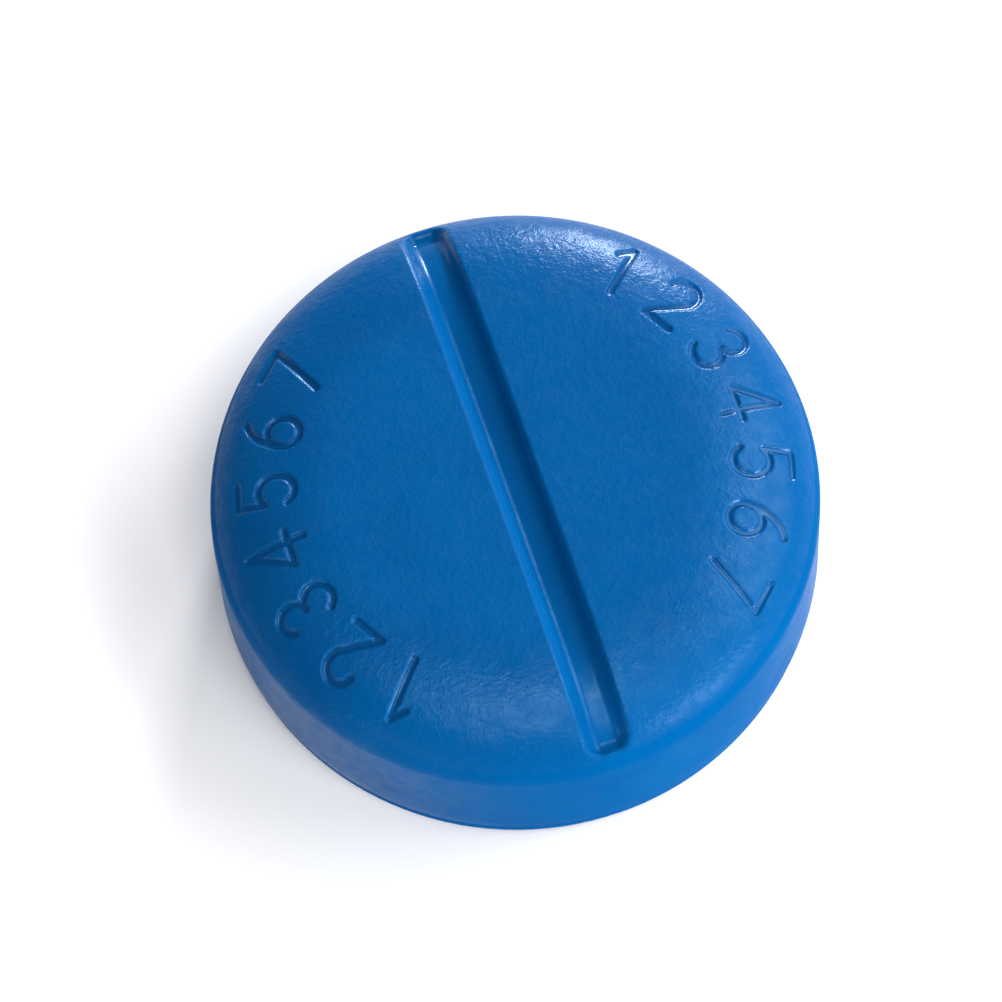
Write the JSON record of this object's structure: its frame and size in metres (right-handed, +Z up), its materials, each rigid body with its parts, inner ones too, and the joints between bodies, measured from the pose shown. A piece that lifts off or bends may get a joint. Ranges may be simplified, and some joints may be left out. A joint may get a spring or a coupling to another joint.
{
  "type": "pill box with twist grinder",
  "caption": "Round tablet-shaped pill box with a scored domed lid that turns a twist grinder, over a ring of wedge-shaped pill compartments.",
  "frame": {"origin": "centre of the foot ring's underside", "axes": "+Z up through the lid; the lid's score line runs along Y"},
  "size_m": [0.076, 0.076, 0.0288],
  "materials": {
    "blue_shell": "fine moulded grain on top, glossy side wall",
    "soft_grey": "matt soft rubber",
    "white_acetal": "satin white",
    "ivory_glide": "matt slippery plastic",
    "stainless": "brushed",
    "screw_steel": "plain steel",
    "milky_tray": "milky, smooth",
    "frosted_cover": "frosted, translucent"
  },
  "bodies": {
    "base": {"base_shell": "blue_shell", "foot_ring": "soft_grey", "lid_seal": "soft_grey", "grinding_cup": "white_acetal", "lower_grinding_plate": "stainless", "cup_screw": "screw_steel", "pill_tray": "milky_tray"},
    "cover": {"tray_cover": "frosted_cover", "glide_ring": "ivory_glide", "collar_seal": "soft_grey"},
    "lid": {"lid_shell": "blue_shell", "drive_hub": "white_acetal", "upper_grinding_plate": "stainless", "plate_screws": "screw_steel", "hub_screws": "screw_steel"}
  },
  "joints": [
    {"name": "lid_lift", "type": "slide", "parent": "base", "child": "cover", "axis": [0, 0, 1], "range_m": [0, 0.045]},
    {"name": "lid_turn", "type": "hinge", "parent": "cover", "child": "lid", "pos_m": [0, 0, 0.021], "axis": [0, 0, 1], "continuous": true}
  ]
}
